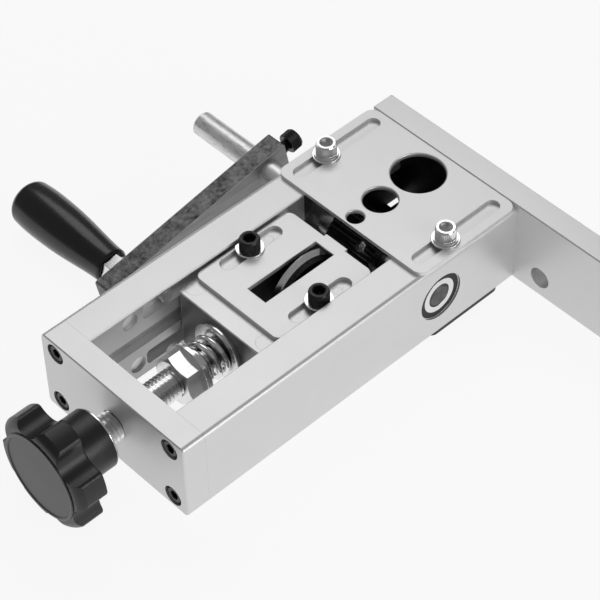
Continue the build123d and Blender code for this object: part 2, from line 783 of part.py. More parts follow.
with BuildPart() as knob_washer:
    with BuildSketch(Plane.YZ.offset(hub_back_x)):
        with Locations((0, screw_z)):
            Circle(hub_radius - 0.4)
            Circle(screw_radius, mode=Mode.SUBTRACT)
    extrude(amount=1.0)
knob_washer.part.label = "knob_washer"
export_step(knob_washer.part, "parts/knob_washer.step")

# ---------------------------------------------------------------- carriage with its plugs, dowels and pins

cutter_slot_half = 5.65
cutter_slot_front_x = front_x + 81.1
rod_bore_end_x = front_x + 89.9
rod_bore_radius = screw_radius + 0.5
dowel_radius = 4.0
dowel_x = front_x + 75.0
dowel_depth = 12.0
dowel_reach = groove_depth - side_gap
retaining_x = front_x + 76.3
retaining_radius = 1.5
retaining_y = neck_radius + retaining_radius + side_gap
plug_x = front_x + 66.7
plug_y = 22.0
plug_radius = 4.5
plug_depth = 6.0
small_plug_x = front_x + 108.9
small_plug_radius = 2.1
plug_places = [(plug_x, -plug_y), (plug_x, plug_y)]
small_plug_places = [(small_plug_x, plate_shift_y + side * window_screw_y) for side in (-1, 1)]
window_screw_places = [(window_screw_x, plate_shift_y + side * window_screw_y) for side in (-1, 1)]
window_screw_length = 12.0
window_screw_depth = window_screw_length - window_plate_thick - plate_washer_thick

with BuildPart() as carriage:
    with BuildSketch(Plane.XY.offset(carriage_bottom_z)):
        with Locations(((carriage_front_x + carriage_back_x) / 2, 0)):
            Rectangle(carriage_back_x - carriage_front_x, 2 * carriage_half)
    extrude(amount=carriage_top_z - carriage_bottom_z)
    fillet(carriage.edges().filter_by(Axis.Z).sort_by(Axis.X)[:2], 3.0)
    chamfer(carriage.faces().sort_by(Axis.Z)[-1].edges(), 0.4)
    with BuildSketch(Plane.YZ.offset(carriage_front_x)):
        with Locations((0, screw_z)):
            Circle(rod_bore_radius)
    extrude(amount=rod_bore_end_x - carriage_front_x, mode=Mode.SUBTRACT)
    with BuildSketch(Plane.XY.offset(carriage_bottom_z)):
        with Locations(((cutter_slot_front_x + carriage_back_x) / 2, 0)):
            Rectangle(carriage_back_x - cutter_slot_front_x, 2 * cutter_slot_half)
    extrude(amount=carriage_top_z - carriage_bottom_z, mode=Mode.SUBTRACT)
    with BuildSketch(Plane.XZ.offset(-carriage_half)):
        with Locations((cutter_x, 0)):
            Circle(axle_radius)
    extrude(amount=2 * carriage_half, mode=Mode.SUBTRACT)
    for side, side_name in sides:
        with BuildSketch(Plane.XZ.offset(-side * carriage_half)):
            with Locations((dowel_x, 0)):
                Circle(dowel_radius)
        extrude(amount=side * dowel_depth, mode=Mode.SUBTRACT)
    with BuildSketch(Plane.XY.offset(carriage_bottom_z)):
        with Locations((retaining_x, -retaining_y), (retaining_x, retaining_y)):
            Circle(retaining_radius)
    extrude(amount=carriage_top_z - carriage_bottom_z, mode=Mode.SUBTRACT)
    with BuildSketch(Plane.XY.offset(carriage_top_z)):
        with Locations(*plug_places):
            Circle(plug_radius)
        with Locations(*small_plug_places):
            Circle(small_plug_radius)
    extrude(amount=-plug_depth, mode=Mode.SUBTRACT)
    with BuildSketch(Plane.XY.offset(carriage_top_z)):
        with Locations(*window_screw_places):
            Circle(plate_screw_size / 2)
    extrude(amount=-window_screw_depth, mode=Mode.SUBTRACT)
carriage.part.label = "carriage"
export_step(carriage.part, "parts/carriage.step")

with BuildPart() as carriage_plugs:
    with BuildSketch(Plane.XY.offset(carriage_top_z - plug_depth)):
        with Locations(*plug_places):
            Circle(plug_radius)
        with Locations(*small_plug_places):
            Circle(small_plug_radius)
    extrude(amount=plug_depth)
carriage_plugs.part.label = "carriage_plugs"
export_step(carriage_plugs.part, "parts/carriage_plugs.step")

with BuildPart() as guide_dowels:
    for side, side_name in sides:
        with BuildSketch(Plane.XZ.offset(-side * (carriage_half + dowel_reach))):
            with Locations((dowel_x, 0)):
                Circle(dowel_radius)
        extrude(amount=side * (dowel_depth + dowel_reach))
guide_dowels.part.label = "guide_dowels"
export_step(guide_dowels.part, "parts/guide_dowels.step")

with BuildPart() as retaining_pins:
    with BuildSketch(Plane.XY.offset(carriage_bottom_z)):
        with Locations((retaining_x, -retaining_y), (retaining_x, retaining_y)):
            Circle(retaining_radius)
    extrude(amount=carriage_top_z - carriage_bottom_z - 0.5)
retaining_pins.part.label = "retaining_pins"
export_step(retaining_pins.part, "parts/retaining_pins.step")

# ---------------------------------------------------------------- cutter disc on its axle

edge_y = 1.0
cutter_plane = Plane(origin=(cutter_x, 0, 0), x_dir=(0, 1, 0), z_dir=(1, 0, 0))
cutter_axis = Axis((cutter_x, 0, 0), (0, 1, 0))
cutter_hub_radius = 10.0

with BuildPart() as cutter_disc:
    with BuildSketch(cutter_plane):
        with BuildLine():
            Polyline(
                (-cutter_half, axle_radius + running_gap),
                (-cutter_half, cutter_radius - 2.4),
                (edge_y - 2.5, cutter_radius - 1.6),
                (edge_y - 0.15, cutter_radius),
                (edge_y, cutter_radius),
                (edge_y, cutter_hub_radius),
                (cutter_half, cutter_hub_radius),
                (cutter_half, axle_radius + running_gap),
                close=True,
            )
        make_face()
    revolve(axis=cutter_axis)
cutter_disc.part.label = "cutter_disc"
export_step(cutter_disc.part, "parts/cutter_disc.step")

with BuildPart() as cutter_axle:
    with BuildSketch(Plane.XZ.offset(-(carriage_half + dowel_reach))):
        with Locations((cutter_x, 0)):
            Circle(axle_radius)
    extrude(amount=2 * (carriage_half + dowel_reach))
    chamfer(cutter_axle.edges().filter_by(GeomType.CIRCLE), 0.5)
cutter_axle.part.label = "cutter_axle"
export_step(cutter_axle.part, "parts/cutter_axle.step")

spacer_inner_y = cutter_half + 0.2
with BuildPart() as cutter_spacers:
    for side, side_name in sides:
        with BuildSketch(Plane.XZ.offset(-side * cutter_slot_half)):
            with Locations((cutter_x, 0)):
                Circle(6.5)
                Circle(axle_radius, mode=Mode.SUBTRACT)
        extrude(amount=side * (cutter_slot_half - spacer_inner_y))
cutter_spacers.part.label = "cutter_spacers"
export_step(cutter_spacers.part, "parts/cutter_spacers.step")

# ---------------------------------------------------------------- window plate on the carriage

plate_front_x = front_x + 69.8
plate_back_x = front_x + 126.0
window_start_x = front_x + 80.8
window_end_x = front_x + 120.9
window_mid_y = -1.1
window_half = 5.65
window_slot_start_x = front_x + 81.3
window_slot_end_x = front_x + 115.6
window_slot_width = 7.4
tab_reach = 1.6
tab_width = 13.1
tab_mid_y = -2.0
relief_height = 1.2

with BuildPart() as window_plate:
    with BuildSketch(Plane.XY.offset(carriage_top_z)):
        with Locations(((plate_front_x + plate_back_x) / 2, 0)):
            RectangleRounded(plate_back_x - plate_front_x, 2 * carriage_half, 4.0)
        with Locations((plate_back_x, tab_mid_y)):
            Rectangle(2 * tab_reach, tab_width)
        with Locations(((window_start_x + window_end_x) / 2, window_mid_y)):
            Rectangle(window_end_x - window_start_x, 2 * window_half, mode=Mode.SUBTRACT)
        slot_mid_x = (window_slot_start_x + window_slot_end_x) / 2
        with Locations(*[(slot_mid_x, plate_shift_y + side * window_screw_y) for side in (-1, 1)]):
            SlotOverall(window_slot_end_x - window_slot_start_x, window_slot_width, mode=Mode.SUBTRACT)
    extrude(amount=window_plate_thick)
    with BuildSketch(Plane.XY.offset(carriage_top_z)):
        with Locations(((window_end_x + plate_back_x) / 2, window_mid_y)):
            Rectangle(plate_back_x - window_end_x + 2.0, 2 * window_half)
    extrude(amount=relief_height, mode=Mode.SUBTRACT)
window_plate.part.label = "window_plate"
export_step(window_plate.part, "parts/window_plate.step")

window_plate_top_z = carriage_top_z + window_plate_thick
window_head_z = window_plate_top_z + plate_washer_thick

with BuildPart() as window_plate_washers:
    with BuildSketch(Plane.XY.offset(window_plate_top_z)):
        with Locations(*window_screw_places):
            Circle(plate_washer_radius)
            Circle(plate_washer_bore, mode=Mode.SUBTRACT)
    extrude(amount=plate_washer_thick)
window_plate_washers.part.label = "window_plate_washers"
export_step(window_plate_washers.part, "parts/window_plate_washers.step")

window_screw = cap_screw(
    plate_screw_size,
    window_screw_length,
    plate_screw_head,
    plate_head_radius,
    plate_screw_socket,
)
with BuildPart() as window_plate_screws:
    with Locations(*[(x, y, window_head_z) for x, y in window_screw_places]):
        add(window_screw)
window_plate_screws.part.label = "window_plate_screws"
export_step(window_plate_screws.part, "parts/window_plate_screws.step")
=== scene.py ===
# %% [markdown]
# # Hand-cranked cable stripper
# The machine is a small frame of aluminium bars that carries a crank shaft with a feed roller, and a
# carriage with a round blade that a screw presses towards the roller. The solid model gives every
# piece at its real size, so this lesson only dresses it: edges get the small rounding of real parts,
# threads and knurls get real geometry, and each surface gets the finish of its trade.

# %% Load the solid model
import bpy
import bmesh
import json
import math
from mathutils import Matrix, Vector


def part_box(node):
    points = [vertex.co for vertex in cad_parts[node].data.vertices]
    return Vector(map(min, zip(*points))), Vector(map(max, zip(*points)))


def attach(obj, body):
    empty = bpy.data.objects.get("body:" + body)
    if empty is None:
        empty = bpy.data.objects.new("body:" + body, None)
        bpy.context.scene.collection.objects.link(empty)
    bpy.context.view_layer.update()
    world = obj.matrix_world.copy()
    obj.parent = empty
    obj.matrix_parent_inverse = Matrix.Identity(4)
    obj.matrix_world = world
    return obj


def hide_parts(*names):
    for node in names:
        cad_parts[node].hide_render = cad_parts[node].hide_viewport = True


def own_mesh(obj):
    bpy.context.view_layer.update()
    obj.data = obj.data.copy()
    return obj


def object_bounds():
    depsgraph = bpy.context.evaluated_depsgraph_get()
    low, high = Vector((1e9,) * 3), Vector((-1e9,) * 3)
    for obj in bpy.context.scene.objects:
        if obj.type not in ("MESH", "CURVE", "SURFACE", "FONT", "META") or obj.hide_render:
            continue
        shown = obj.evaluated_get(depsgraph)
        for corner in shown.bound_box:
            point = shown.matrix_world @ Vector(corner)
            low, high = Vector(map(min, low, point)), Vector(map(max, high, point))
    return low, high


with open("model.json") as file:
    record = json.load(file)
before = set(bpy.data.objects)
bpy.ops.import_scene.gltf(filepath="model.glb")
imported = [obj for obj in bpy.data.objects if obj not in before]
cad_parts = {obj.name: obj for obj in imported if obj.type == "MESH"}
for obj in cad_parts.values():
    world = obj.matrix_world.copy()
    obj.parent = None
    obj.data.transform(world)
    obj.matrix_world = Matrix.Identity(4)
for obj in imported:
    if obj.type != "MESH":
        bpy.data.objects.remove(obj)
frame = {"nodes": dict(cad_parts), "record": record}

MM = 0.001
cad_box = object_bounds()
cad_size = cad_box[1] - cad_box[0]
print("solid model:", len(frame["nodes"]), "nodes,", [round(side / MM, 1) for side in cad_size], "mm")

# %% [markdown]
# ## Writing materials as arithmetic
# A finish is mostly sums: a base value, plus a little noise, minus some wear. Blender's node graph
# says that with many small boxes. This class wraps one output socket, so that the sums can be written
# as ordinary expressions, and every operator adds its own Math node.


# %% A socket that can be added and multiplied
class Shade:
    def __init__(self, graph, socket):
        self.graph = graph
        self.socket = socket

    def math(self, operation, other=None, swap=False):
        values = [self, other] if other is not None else [self]
        if swap:
            values.reverse()
        inputs = {index: value for index, value in enumerate(values)}
        return self.graph.add("ShaderNodeMath", {"operation": operation}, inputs)

    def __add__(self, other):
        return self.math("ADD", other)

    def __radd__(self, other):
        return self.math("ADD", other, swap=True)

    def __sub__(self, other):
        return self.math("SUBTRACT", other)

    def __rsub__(self, other):
        return self.math("SUBTRACT", other, swap=True)

    def __mul__(self, other):
        return self.math("MULTIPLY", other)

    def __rmul__(self, other):
        return self.math("MULTIPLY", other, swap=True)

    def __pow__(self, other):
        return self.math("POWER", other)

    def above(self, other):
        return self.math("GREATER_THAN", other)

    def clamped(self):
        return self.graph.add("ShaderNodeClamp", {}, {"Value": self})


# %% [markdown]
# The second class holds one material. Its `add` method can place any node with its settings and
# inputs, and the short methods below it name the few nodes that every finish here needs.


# %% A material's graph
class Finish:
    def __init__(self, name):
        self.material = bpy.data.materials.new(name)
        self.material.use_nodes = True
        self.tree = self.material.node_tree
        self.shader = self.tree.nodes["Principled BSDF"]
        self.place = self.add("ShaderNodeTexCoord", {}, {}, "Object")

    def add(self, kind, settings, inputs, output=0):
        node = self.tree.nodes.new(kind)
        for key, value in settings.items():
            if key == "stops":
                self.set_stops(node.color_ramp, value)
            else:
                setattr(node, key, value)
        for key, value in inputs.items():
            if isinstance(value, Shade):
                self.tree.links.new(value.socket, node.inputs[key])
            else:
                node.inputs[key].default_value = value
        return Shade(self, node.outputs[output])

    def set_stops(self, ramp, stops):
        while len(ramp.elements) < len(stops):
            ramp.elements.new(1.0)
        for element, (position, grey) in zip(ramp.elements, stops):
            element.position = position
            element.color = (grey, grey, grey, 1.0)

    def stretched(self, x, y, z):
        return self.add("ShaderNodeMapping", {}, {"Vector": self.place, "Scale": (x, y, z)})

    def noise(self, scale, detail=3.0, roughness=0.55, place=None):
        place = self.place if place is None else place
        settings = {"Vector": place, "Scale": scale, "Detail": detail, "Roughness": roughness}
        return self.add("ShaderNodeTexNoise", {}, settings)

    def inside(self, low, high):
        """1 within a box given by two corners, 0 outside it."""
        share = 1.0
        for index, axis in enumerate("XYZ"):
            here = self.add("ShaderNodeSeparateXYZ", {}, {"Vector": self.place}, axis)
            share = here.above(low[index]) * (high[index] - here).above(0.0) * share
        return share

    def ramp(self, value, *stops):
        return self.add("ShaderNodeValToRGB", {"stops": stops}, {"Fac": value})

    def mix(self, share, first, second):
        inputs = {"Factor": share, 6: first, 7: second}
        return self.add("ShaderNodeMix", {"data_type": "RGBA"}, inputs, 2)

    def bump(self, height, strength, distance):
        return self.add("ShaderNodeBump", {}, {"Height": height, "Strength": strength, "Distance": distance})

    def set(self, **inputs):
        for key, value in inputs.items():
            socket = self.shader.inputs[key.replace("_", " ")]
            if isinstance(value, Shade):
                self.tree.links.new(value.socket, socket)
            else:
                socket.default_value = value
        return self.material


def grey(value):
    return (value, value, value, 1.0)


# %% [markdown]
# ## Finishes
# Bead-blasted aluminium is pale and even, with a fine grain that breaks up its reflections. It is a
# metal, but its rough skin spreads light so widely that it reads almost like paint. Two sizes of
# noise do that: a fine one for the grain and a broad one for the slight clouding left by the
# blasting.


# %% Aluminium
def blasted_aluminium(name, tone, rough, painted_shade_boxes=()):
    """Each painted-shade box is two corners and the share of near-black painted shade laid on the metal in
    it.
    """
    finish = Finish(name)
    fine = finish.noise(1800.0, 2.0)
    broad = finish.noise(45.0, 3.0)
    tint = finish.ramp(fine * 0.5 + broad * 0.5, (0.3, tone * 0.93), (0.7, tone))
    painted_shade_tone = finish.ramp(broad, (0.3, 0.02), (0.7, 0.07))
    # Painted shade: inside each box the metal is mixed, by its share, towards a near-black tone where the
    # hollows lie in shade.
    for low, high, share in painted_shade_boxes:
        tint = finish.mix(finish.inside(low, high) * share, tint, painted_shade_tone)
    return finish.set(
        Base_Color=tint,
        Metallic=0.7,
        Roughness=rough + (fine - 0.5) * 0.16 + (broad - 0.5) * 0.08,
        Normal=finish.bump(fine, 0.25, 0.00006),
    )


# Painted shade: these boxes darken the metal to a near-black tone inside the feed block (fully), in the
# screw bay below the plates (40 %), in the blade slot (fully) and on the carriage's front face (72 %), where
# shade falls.
inner_y = 27.05 * MM
plate_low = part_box("feed_plate")[0]
cover_z = plate_low.z - 0.05 * MM
feed_block_shade = ((plate_low.x, -inner_y, cad_box[0].z), (-11.9 * MM, inner_y, cover_z), 1.0)
bay_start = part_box("end_plate")[1].x - 0.05 * MM
screw_bay_shade = ((bay_start, -inner_y, cad_box[0].z), (plate_low.x, inner_y, cover_z - 1 * MM), 0.4)
carriage_low, carriage_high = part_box("carriage")
blade_slot_shade = (
    (carriage_low.x + 4 * MM, -14 * MM, carriage_low.z - 1 * MM),
    (carriage_high.x + 1 * MM, 14 * MM, carriage_high.z - 0.4 * MM),
    1.0,
)
carriage_front_shade = (
    (carriage_low.x - 1 * MM, -inner_y, carriage_low.z - 1 * MM),
    (carriage_low.x + 0.2 * MM, inner_y, carriage_high.z - 0.6 * MM),
    0.72,
)
body_finish = blasted_aluminium("body_aluminium", 0.78, 0.4, painted_shade_boxes=(feed_block_shade, screw_bay_shade))
plate_finish = blasted_aluminium("plate_aluminium", 0.82, 0.42)
carriage_finish = blasted_aluminium("carriage_aluminium", 0.76, 0.38, painted_shade_boxes=(blade_slot_shade, carriage_front_shade))
print("aluminium finishes:", body_finish.name, plate_finish.name, carriage_finish.name)

# %% [markdown]
# Turned and ground steel is a plain metal with very fine scratches that run round or along the piece.
# Stretching the noise in one direction gives such scratches. Zinc plating, ground steel, spring wire
# and bearing rings differ only in how bright and how smooth they are.


# %% Steel
def bright_steel(name, tone, rough):
    finish = Finish(name)
    scratches = finish.noise(220.0, 4.0, place=finish.stretched(1.0, 6.0, 6.0))
    broad = finish.noise(60.0, 2.0)
    return finish.set(
        Base_Color=finish.ramp(broad, (0.3, tone * 0.9), (0.75, tone)),
        Metallic=1.0,
        Roughness=rough + (scratches - 0.5) * 0.14,
        Normal=finish.bump(scratches, 0.12, 0.00003),
    )


zinc_finish = bright_steel("bright_steel", 0.82, 0.2)
ground_finish = bright_steel("ground_steel", 0.74, 0.27)
spring_finish = bright_steel("spring_steel", 0.84, 0.14)
bearing_finish = bright_steel("bearing_steel", 0.78, 0.18)

# %% [markdown]
# Cap screws are blackened in a hot salt bath, which leaves a thin dark oxide. It is uneven at a small
# scale and half glossy, because the oxide holds a little oil.


# %% Blackened steel
def black_steel():
    finish = Finish("black_steel")
    broad = finish.noise(350.0, 3.0)
    return finish.set(
        Base_Color=finish.ramp(broad, (0.35, 0.012), (0.75, 0.035)),
        Metallic=0.55,
        Roughness=0.3 + (broad - 0.5) * 0.3,
        Normal=finish.bump(broad, 0.2, 0.00004),
    )


black_finish = black_steel()


# %% [markdown]
# The crank arm is a length of hot-rolled flat bar. Its wide faces are ground to a plain grey, and its
# narrow edges keep the dark, blotched scale from the mill. The wide faces lie half a thickness from
# the bar's middle plane, so the distance from that plane tells the two apart.

# %% Scaled flat bar
arm_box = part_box("crank_arm")
arm_middle = (arm_box[0].y + arm_box[1].y) / 2
arm_half = (arm_box[1].y - arm_box[0].y) / 2


def scaled_bar():
    finish = Finish("scaled_steel")
    across = finish.add("ShaderNodeSeparateXYZ", {}, {"Vector": finish.place}, "Y")
    wide = (across - arm_middle).math("ABSOLUTE").above(arm_half - 0.3 * MM)
    blotch = finish.noise(150.0, 7.0, 0.72)
    flakes = finish.noise(520.0, 4.0, 0.6)
    scale_tone = finish.ramp(blotch * 0.6 + flakes * 0.4, (0.36, 0.025), (0.62, 0.26))
    streaks = finish.noise(90.0, 4.0, place=finish.stretched(0.3, 2.0, 5.0))
    ground_tone = finish.ramp(streaks, (0.3, 0.3), (0.75, 0.42))
    return finish.set(
        Base_Color=finish.mix(wide, scale_tone, ground_tone),
        Metallic=0.8,
        Roughness=0.34 + blotch * 0.25 + wide * 0.05,
        Normal=finish.bump(blotch * (1 - wide) + streaks * wide * 0.2, 0.5, 0.0003),
    )


arm_finish = scaled_bar()
print("arm plane at", round(arm_middle / MM, 2), "mm")


# %% [markdown]
# The round blade is hardened steel. Hardening leaves its flanks dark, and grinding then bares a
# narrow bright band at the cutting edge. The distance from the blade's own axis tells the band from
# the flank.

# %% Round blade
disc_low, disc_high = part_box("cutter_disc")
disc_middle = (disc_low + disc_high) / 2
disc_radius = (disc_high.x - disc_low.x) / 2


def hardened_disc():
    finish = Finish("hardened_steel")
    across = finish.add("ShaderNodeVectorMath", {"operation": "SUBTRACT"}, {0: finish.place, 1: disc_middle})
    flat = finish.add("ShaderNodeVectorMath", {"operation": "MULTIPLY"}, {0: across, 1: (1, 0, 1)})
    reach = finish.add("ShaderNodeVectorMath", {"operation": "LENGTH"}, {0: flat}, "Value")
    ground = reach.above(disc_radius - 1.6 * MM)
    fine = finish.noise(700.0, 3.0)
    flank = finish.ramp(fine, (0.3, 0.02), (0.7, 0.05))
    band = finish.ramp(fine, (0.3, 0.72), (0.7, 0.85))
    return finish.set(
        Base_Color=finish.mix(ground, flank, band),
        Metallic=1.0,
        Roughness=0.34 - ground * 0.12 + (fine - 0.5) * 0.1,
        Normal=finish.bump(fine, 0.12, 0.00003),
    )


disc_finish = hardened_disc()
print("blade radius", round(disc_radius / MM, 2), "mm")

# %% [markdown]
# The crank shaft is cut from cold-drawn round bar. Drawing leaves it pale and satin along its length,
# and the saw leaves its end a dull grey. The end is the first millimetre or so along the shaft.

# %% Drawn bar
shaft_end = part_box("crank_shaft")[0].y + 1.1 * MM


def drawn_bar():
    finish = Finish("drawn_steel")
    along = finish.add("ShaderNodeSeparateXYZ", {}, {"Vector": finish.place}, "Y")
    sawn = (shaft_end - along).above(0.0)
    marks = finish.noise(160.0, 5.0, 0.65, place=finish.stretched(4.0, 1.0, 4.0))
    pale = finish.ramp(marks, (0.3, 0.5), (0.5, 0.86))
    dull = finish.ramp(finish.noise(400.0, 4.0), (0.35, 0.09), (0.7, 0.17))
    return finish.set(
        Base_Color=finish.mix(sawn, pale, dull),
        Metallic=0.75 - sawn * 0.35,
        Roughness=0.36 + (marks - 0.5) * 0.3 + sawn * 0.2,
        Normal=finish.bump(marks, 0.2, 0.00005),
    )


shaft_finish = drawn_bar()
print("sawn end up to y", round(shaft_end / MM, 2), "mm")


# %% [markdown]
# The knob, the grip and the bearing seals are moulded. The knob has a dull grained skin, the grip
# came out of a polished mould and was lacquered, and the rubber seals are matt.

# %% Plastics and rubber
def moulded(name, tone, rough, grain, coat):
    finish = Finish(name)
    fine = finish.noise(grain, 2.0)
    broad = finish.noise(70.0, 2.0)
    return finish.set(
        Base_Color=finish.ramp(broad, (0.3, tone * 0.8), (0.7, tone * 1.15)),
        Roughness=rough + (fine - 0.5) * 0.18,
        Coat_Weight=coat,
        Coat_Roughness=0.12,
        Normal=finish.bump(fine, 0.18, 0.00012),
    )


knob_finish = moulded("knob_plastic", 0.009, 0.36, 900.0, 0.0)
grip_finish = moulded("grip_plastic", 0.004, 0.26, 500.0, 0.15)
rubber_finish = moulded("seal_rubber", 0.02, 0.6, 1500.0, 0.0)
inlay_finish = moulded("knob_inlay", 0.016, 0.34, 1500.0, 0.0)
rim_finish = moulded("knob_rim", 0.07, 0.35, 1500.0, 0.0)
print("finishes:", len(bpy.data.materials))

# %% [markdown]
# ## Real edges
# A machined part has no perfectly sharp edge: the tool or a file leaves a rounding of a few tenths of
# a millimetre, and that thin line catches the light. The solid's triangles are merged back into whole
# faces in a copy, and a bevel rounds every edge that turns sharply. Weighted normals keep the flat
# faces flat between the rounded edges.

# %% Where each finish goes
finish_of = {
    "body_aluminium": body_finish,
    "carriage_aluminium": carriage_finish,
    "plate_aluminium": plate_finish,
    "bright_steel": zinc_finish,
    "spring_steel": spring_finish,
    "ground_steel": ground_finish,
    "bearing_steel": bearing_finish,
    "black_steel": black_finish,
    "scaled_steel": arm_finish,
    "knob_plastic": knob_finish,
    "grip_plastic": grip_finish,
    "seal_rubber": rubber_finish,
}
slot_of = {part["node"]: part["material_slot"] for part in frame["record"]["subparts"]}
body_of = {node: body for body, nodes in frame["record"]["behaviour"]["bodies"].items() for node in nodes}


def finished(mesh, name, node, finish=None, smooth=True):
    """Turns a bmesh into a piece that rides with a node's body and takes its material slot."""
    data = bpy.data.meshes.new(name)
    mesh.to_mesh(data)
    mesh.free()
    piece = bpy.data.objects.new(name, data)
    bpy.context.scene.collection.objects.link(piece)
    data.materials.append(finish or finish_of[slot_of[node]])
    if smooth:
        data.shade_smooth()
    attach(piece, body_of[node])
    return piece


own_finish = {"cutter_disc": disc_finish, "crank_shaft": shaft_finish}


bevel_segments = 2
sharp_turn = math.radians(32.0)


def rounded_copy(node, width):
    """A merged copy of a node with rounded edges, shown in the node's place."""
    mesh = bmesh.new()
    mesh.from_mesh(frame["nodes"][node].data)
    bmesh.ops.remove_doubles(mesh, verts=mesh.verts, dist=2e-6)
    bmesh.ops.dissolve_limit(mesh, angle_limit=math.radians(0.4), verts=mesh.verts, edges=mesh.edges)
    piece = finished(mesh, node + "_rounded", node, own_finish.get(node))
    bevel = piece.modifiers.new("edge rounding", "BEVEL")
    bevel.width = width
    bevel.segments = bevel_segments
    bevel.limit_method = "ANGLE"
    bevel.angle_limit = sharp_turn
    bevel.harden_normals = True
    piece.modifiers.new("flat faces", "WEIGHTED_NORMAL")
    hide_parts(node)


# %% [markdown]
# ## Turned pieces, threads and screws
# A lathe makes a shape by turning the work against one tool, and spinning an outline does the same
# here. A thread is an outline with one tooth per turn, spun while it also moves along by one pitch,
# so that its last edge meets its first one a tooth further on. The ends are then cut off square, as
# they are on a screw.


# %% Turning and threading
def turned(outline, steps=72):
    """Spins a list of (radius, height) points about Z."""
    mesh = bmesh.new()
    points = [mesh.verts.new((radius, 0, height)) for radius, height in outline]
    edges = [mesh.edges.new(pair) for pair in zip(points, points[1:])]
    bmesh.ops.spin(mesh, geom=points + edges, axis=(0, 0, 1), angle=math.tau, steps=steps, use_merge=True)
    bmesh.ops.remove_doubles(mesh, verts=mesh.verts, dist=1e-6)
    bmesh.ops.recalc_face_normals(mesh, faces=mesh.faces)
    return mesh


def threaded(radius, pitch, length, steps=40):
    """A thread about Z, from height 0 down to minus its length."""
    root = radius - 0.61 * pitch
    teeth = math.ceil(length / pitch) + 2
    mesh = bmesh.new()
    points = []
    for tooth in range(teeth):
        for share, reach in ((0.06, root), (0.44, radius), (0.56, radius), (0.94, root)):
            points.append(mesh.verts.new((reach, 0, (tooth + share) * pitch - length - 1.5 * pitch)))
    edges = [mesh.edges.new(pair) for pair in zip(points, points[1:])]
    rise = (0, 0, pitch / steps)
    bmesh.ops.spin(mesh, geom=points + edges, axis=(0, 0, 1), dvec=rise, angle=math.tau, steps=steps)
    bmesh.ops.remove_doubles(mesh, verts=mesh.verts, dist=pitch / 1000)
    for height, side in ((0.0, 1), (-length, -1)):
        everything = mesh.verts[:] + mesh.edges[:] + mesh.faces[:]
        cut = (0, 0, height)
        bmesh.ops.bisect_plane(mesh, geom=everything, plane_co=cut, plane_no=(0, 0, side), clear_outer=True)
        bmesh.ops.holes_fill(mesh, edges=[edge for edge in mesh.edges if edge.is_boundary], sides=0)
    bmesh.ops.recalc_face_normals(mesh, faces=mesh.faces)
    return mesh


def joined(base, other, matrix=Matrix.Identity(4)):
    """Adds a moved copy of another bmesh to the base."""
    data = bpy.data.meshes.new("joining")
    other.to_mesh(data)
    data.transform(matrix)
    base.from_mesh(data)
    bpy.data.meshes.remove(data)
    return base


print("a test thread has", len(threaded(3 * MM, 1 * MM, 10 * MM).faces), "faces")

# %% [markdown]
# A socket cap screw has a knurled round head with a chamfered rim and a hexagonal socket. The head is
# built as a stack of rings with the same number of points each, bridged one to the next. Moving every
# second point of the middle rings inwards cuts the knurl, and a hexagon whose sides are divided into
# equal steps gives the socket.


# %% Cap screws
def socket_screw(size, pitch, length, head_height, head_radius, socket, sides=72):
    """The head's underside is at height 0 and the thread points down."""
    mesh = bmesh.new()
    corner = socket / 2 / math.cos(math.pi / 6)
    rings = [
        ("round", head_radius * 0.93, 0.0),
        ("knurl", head_radius * 0.99, head_height * 0.05),
        ("knurl", head_radius * 0.99, head_height * 0.84),
        ("round", head_radius * 0.96, head_height * 0.87),
        ("round", head_radius * 0.87, head_height),
        ("round", corner * 1.08, head_height),
        ("hexagon", corner, head_height * 0.95),
        ("hexagon", corner, head_height * 0.4),
    ]
    loops = []
    for kind, radius, height in rings:
        place = Matrix.Translation((0, 0, height))
        count = 6 if kind == "hexagon" else sides
        points = bmesh.ops.create_circle(mesh, segments=count, radius=radius, matrix=place)["verts"]
        edges = list({edge for point in points for edge in point.link_edges})
        if kind == "hexagon":
            cut = bmesh.ops.subdivide_edges(mesh, edges=edges, cuts=sides // 6 - 1)
            edges = list(set(edges) | {part for part in cut["geom"] if isinstance(part, bmesh.types.BMEdge)})
        if kind == "knurl":
            for point in points[::2]:
                point.co.xy *= 0.955
        loops.append(edges)
    for lower, upper in zip(loops, loops[1:]):
        bmesh.ops.bridge_loops(mesh, edges=lower + upper)
    bmesh.ops.holes_fill(mesh, edges=[edge for edge in mesh.edges if edge.is_boundary], sides=0)
    bmesh.ops.recalc_face_normals(mesh, faces=mesh.faces)
    shank = threaded(size / 2, pitch, length)
    return joined(mesh, shank)


def screws_at(node, screw, places):
    """One piece with a copy of the screw at each place, instead of a node."""
    mesh = bmesh.new()
    for place in places:
        joined(mesh, screw, place)
    piece = finished(mesh, node + "_cut", node, smooth=False)
    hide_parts(node)


plate_head_height = 5.7 * MM
plate_head_radius = 4.8 * MM
for node, length in (("window_plate_screws", 12 * MM), ("feed_plate_screws", 10 * MM)):
    low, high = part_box(node)
    screw = socket_screw(6 * MM, 1 * MM, length, plate_head_height, plate_head_radius, 5.0 * MM)
    head_z = high.z - plate_head_height
    middle_x = (low.x + high.x) / 2
    rows = (low.y + plate_head_radius, high.y - plate_head_radius)
    screws_at(node, screw, [Matrix.Translation((middle_x, y, head_z)) for y in rows])
    print(node, "heads from z", round(head_z / MM, 2), "mm")

low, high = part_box("end_plate_screws")
end_head_height = 5 * MM
end_head_radius = 4.25 * MM
screw = socket_screw(5 * MM, 0.8 * MM, 24 * MM, end_head_height, end_head_radius, 4 * MM)
facing_knob = Matrix.Rotation(math.radians(-90), 4, "Y")
places = [
    Matrix.Translation((low.x + end_head_height, y, z)) @ facing_knob
    for y in (low.y + end_head_radius, high.y - end_head_radius)
    for z in (low.z + end_head_radius, high.z - end_head_radius)
]
screws_at("end_plate_screws", screw, places)

